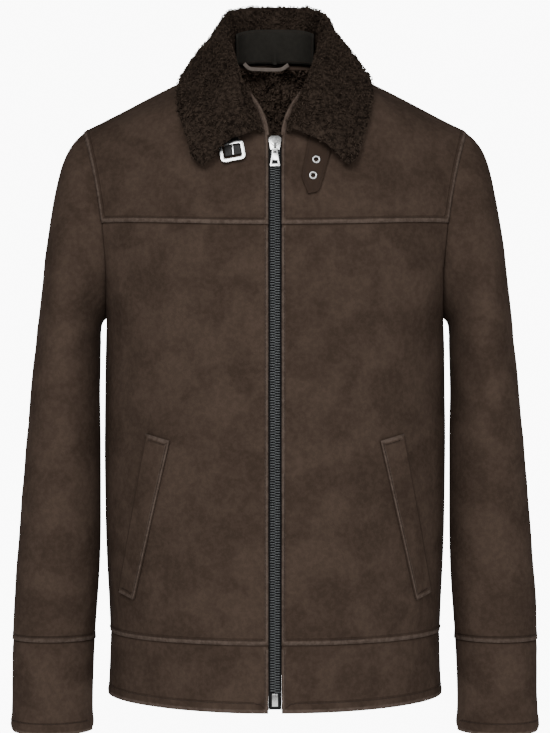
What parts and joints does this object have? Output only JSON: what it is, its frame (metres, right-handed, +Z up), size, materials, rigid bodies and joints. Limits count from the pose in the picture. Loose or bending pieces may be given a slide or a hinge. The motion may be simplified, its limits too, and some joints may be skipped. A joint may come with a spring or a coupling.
{
  "type": "shearling coat",
  "caption": "Hip-length zip-front shearling coat in the form it has when worn, with a large turned-down wool collar, welt pockets and a hem band.",
  "frame": {"origin": "between the shoulders, level with the base of the neck, where the wearer's shoulders carry the coat", "axes": "+Z up, +X to the right of the front view, -Y out of the front"},
  "size_m": [0.614, 0.2985, 0.8609],
  "materials": {
    "suede": "dark brown suede with a matt nap",
    "wool": "curly very dark brown sheep's wool",
    "lining": "smooth near-black cloth",
    "loop_cloth": "grey-brown woven tape",
    "zip_tape": "dark woven tape",
    "zip_teeth": "dulled nickel teeth",
    "nickel": "polished nickel",
    "black_leather": "smooth black leather"
  },
  "bodies": {
    "coat": {"front_panel_left": "suede", "front_yoke_left": "suede", "hem_band_front_left": "suede", "hem_band_back_left": "suede", "back_left": "suede", "sleeve_left": "suede", "cuff_left": "suede", "pocket_welt_left": "suede", "front_panel_right": "suede", "front_yoke_right": "suede", "hem_band_front_right": "suede", "hem_band_back_right": "suede", "back_right": "suede", "sleeve_right": "suede", "cuff_right": "suede", "pocket_welt_right": "suede", "eyelet_strap": "suede", "collar": "wool", "neck_band": "lining", "hanger_loop": "loop_cloth", "zip_tape_left": "zip_tape", "zip_tape_right": "zip_tape", "zip_chain": "zip_teeth", "zip_end_box": "nickel", "zip_slider": "nickel", "eyelet_1": "nickel", "eyelet_2": "nickel", "buckle_strap": "black_leather", "buckle_frame": "nickel", "buckle_prong": "nickel"},
    "pull_tab": {"zip_pull_tab": "nickel"}
  },
  "joints": [
    {"name": "pull_tab_hinge", "type": "hinge", "parent": "coat", "child": "pull_tab", "pos_m": [0, -0.11297, -0.09806], "axis": [-1, 0, 0], "range_deg": [0, 160]}
  ]
}
